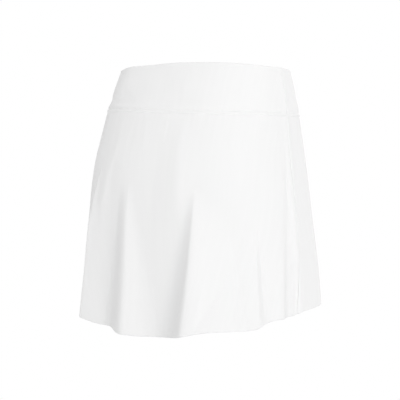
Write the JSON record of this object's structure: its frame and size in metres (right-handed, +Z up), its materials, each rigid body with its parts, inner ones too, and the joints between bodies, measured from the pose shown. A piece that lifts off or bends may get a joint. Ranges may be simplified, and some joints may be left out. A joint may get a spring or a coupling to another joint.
{
  "type": "tennis skirt",
  "caption": "Hollow worn-form tennis skirt: a wide shaped waistband over a short flared skirt that hangs in soft flutes, longer at the back.",
  "frame": {"origin": "centre of the waist opening, at the mean height of the top edge, where the wearer's waist holds the skirt", "axes": "+X towards the wearer's left, +Y towards the back, +Z up"},
  "size_m": [0.3566, 0.3054, 0.3731],
  "materials": {
    "band_knit": "smooth white stretch knit, doubled, fine vertical wales, matte with a soft sheen",
    "skirt_knit": "smooth white stretch knit, single layer, fine vertical wales, matte with a soft sheen"
  },
  "bodies": {
    "root": {"waistband_back": "band_knit", "waistband_front": "band_knit", "skirt_back": "skirt_knit", "skirt_front": "skirt_knit"}
  },
  "joints": []
}
